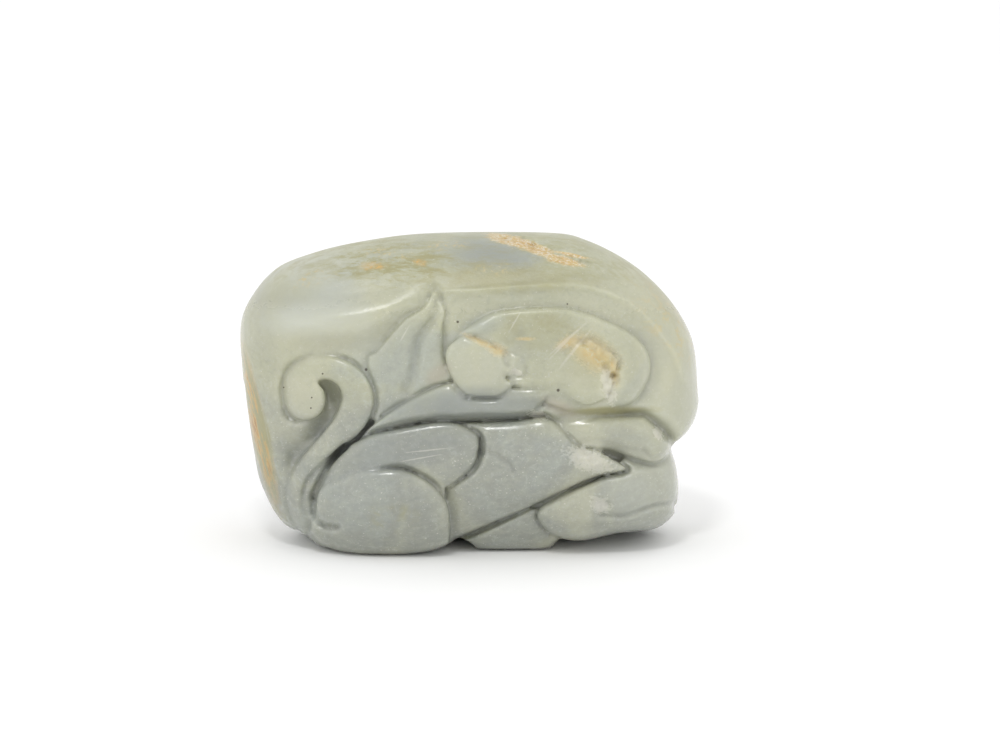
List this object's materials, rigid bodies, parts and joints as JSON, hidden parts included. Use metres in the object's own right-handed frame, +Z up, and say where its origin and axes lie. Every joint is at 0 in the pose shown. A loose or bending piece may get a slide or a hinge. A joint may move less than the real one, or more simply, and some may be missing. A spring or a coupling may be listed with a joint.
{
  "type": "jade carving",
  "caption": "Small pebble carving of a beast lying down with a curled tail and folded legs, resting on its flat underside; ornament or paperweight.",
  "frame": {"origin": "centre of the underside of the bounding box, on the surface it rests on", "axes": "+X along the length from the curled tail to the paw and hoof, +Y from the carved front to the back, +Z up"},
  "size_m": [0.0806, 0.0404, 0.0561],
  "materials": {
    "jade": "polished pale grey-green jade with honey and russet skin, worn soft"
  },
  "bodies": {
    "root": {"jade_carving": "jade"}
  },
  "joints": []
}
